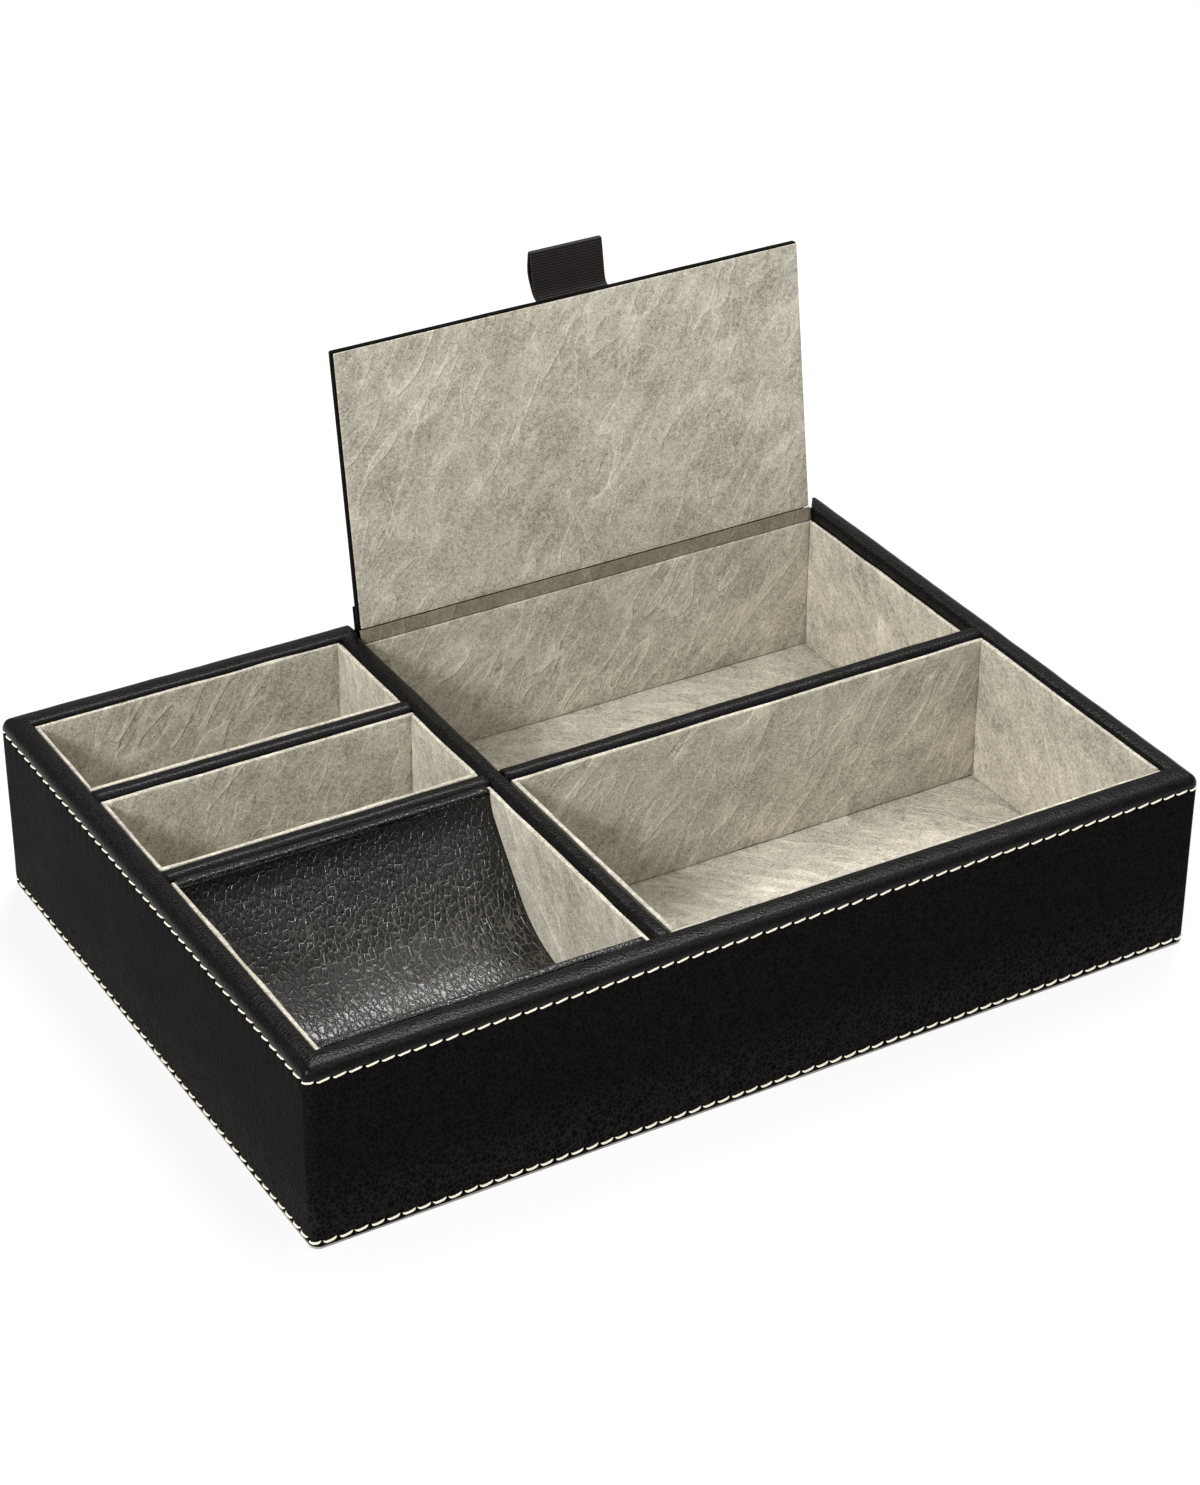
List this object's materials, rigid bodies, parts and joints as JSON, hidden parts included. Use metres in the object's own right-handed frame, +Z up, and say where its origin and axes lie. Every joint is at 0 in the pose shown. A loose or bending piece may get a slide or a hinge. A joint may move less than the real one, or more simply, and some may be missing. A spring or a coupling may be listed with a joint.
{
  "type": "valet tray",
  "caption": "Black leather valet tray with suede-lined compartments, a curved leather coin scoop, and a hinged watch lid with a ribbon pull tab.",
  "frame": {"origin": "centre of the flat underside, on the surface the tray stands on", "axes": "+X along the long front, +Y to the rear where the lid hinges, +Z up"},
  "size_m": [0.254, 0.19, 0.1427],
  "materials": {
    "leather": "satin",
    "suede": "matte",
    "hinge_suede": "matte",
    "fibreboard": "matte",
    "card": "matte",
    "ribbon": "matte",
    "thread": "matte",
    "underside": "matte"
  },
  "bodies": {
    "tray": {"coin_left_lining": "suede", "coin_right_lining": "suede", "cufflink_floor_lining": "suede", "cufflink_front_lining": "suede", "cufflink_rear_lining": "suede", "cufflink_left_lining": "suede", "cufflink_right_lining": "suede", "note_floor_lining": "suede", "note_front_lining": "suede", "note_rear_lining": "suede", "note_left_lining": "suede", "note_right_lining": "suede", "wallet_floor_lining": "suede", "wallet_front_lining": "suede", "wallet_rear_lining": "suede", "wallet_left_lining": "suede", "wallet_right_lining": "suede", "watch_floor_lining": "suede", "watch_front_lining": "suede", "watch_rear_lining": "suede", "watch_left_lining": "suede", "watch_right_lining": "suede", "outer_cover": "leather", "centre_divider_cap": "leather", "watch_divider_cap": "leather", "coin_divider_cap": "leather", "note_divider_cap": "leather", "coin_scoop_leather": "leather", "hinge_leather": "leather", "base_board": "fibreboard", "front_wall_board": "fibreboard", "rear_wall_board": "fibreboard", "left_wall_board": "fibreboard", "right_wall_board": "fibreboard", "centre_divider_board": "fibreboard", "watch_divider_board": "fibreboard", "coin_divider_board": "fibreboard", "note_divider_board": "fibreboard", "coin_scoop_card": "card", "top_thread": "thread", "bottom_thread": "thread", "underside_sheet": "underside", "hinge_band": "hinge_suede"},
    "lid": {"lid_board": "fibreboard", "lid_cover": "leather", "lid_lining": "suede", "pull_tab": "ribbon"}
  },
  "joints": [
    {"name": "lid_hinge", "type": "hinge", "parent": "tray", "child": "lid", "pos_m": [0.0474, 0.084, 0.0506], "axis": [1, 0, 0], "range_deg": [0, 98], "deforming": ["hinge_leather", "hinge_band"]}
  ]
}
